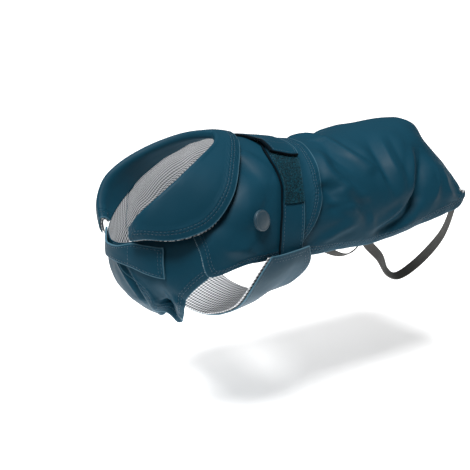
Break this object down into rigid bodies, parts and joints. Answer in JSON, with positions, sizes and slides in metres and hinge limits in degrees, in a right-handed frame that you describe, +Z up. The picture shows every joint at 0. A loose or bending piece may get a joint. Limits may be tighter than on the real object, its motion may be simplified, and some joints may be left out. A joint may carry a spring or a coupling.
{
  "type": "dog raincoat",
  "caption": "Dog raincoat in its worn shape: saddle-shaped body, shoulder cape, turned-down collar, lapped chest, neck tab, belly band with hook-and-loop strap, and hind-leg elastics.",
  "frame": {"origin": "the inner face of the back, half way along the rear body, on the middle plane, where the wearer's back holds the coat up", "axes": "+X toward the tail, -X toward the head, -Y the wearer's left flank, +Z up"},
  "size_m": [0.3519, 0.1754, 0.1586],
  "materials": {
    "shell": "coated rainwear cloth, satin",
    "gingham_lining": "small woven gingham, matt",
    "loop_tape": "brushed loop pile",
    "snap_cap": "painted, satin",
    "elastic": "woven elastic, matt"
  },
  "bodies": {
    "root": {"rear_body": "shell", "cape": "shell", "chest_left": "shell", "chest_right": "shell", "collar": "shell", "under_collar": "gingham_lining", "belt_left": "shell", "belt_right": "shell", "loop_patch": "loop_tape", "back_strap": "shell", "belly_band": "shell", "belly_band_lining": "gingham_lining", "neck_tab": "shell", "snap_left": "snap_cap", "snap_right": "snap_cap", "leg_elastic_left": "elastic", "leg_elastic_right": "elastic"}
  },
  "joints": []
}
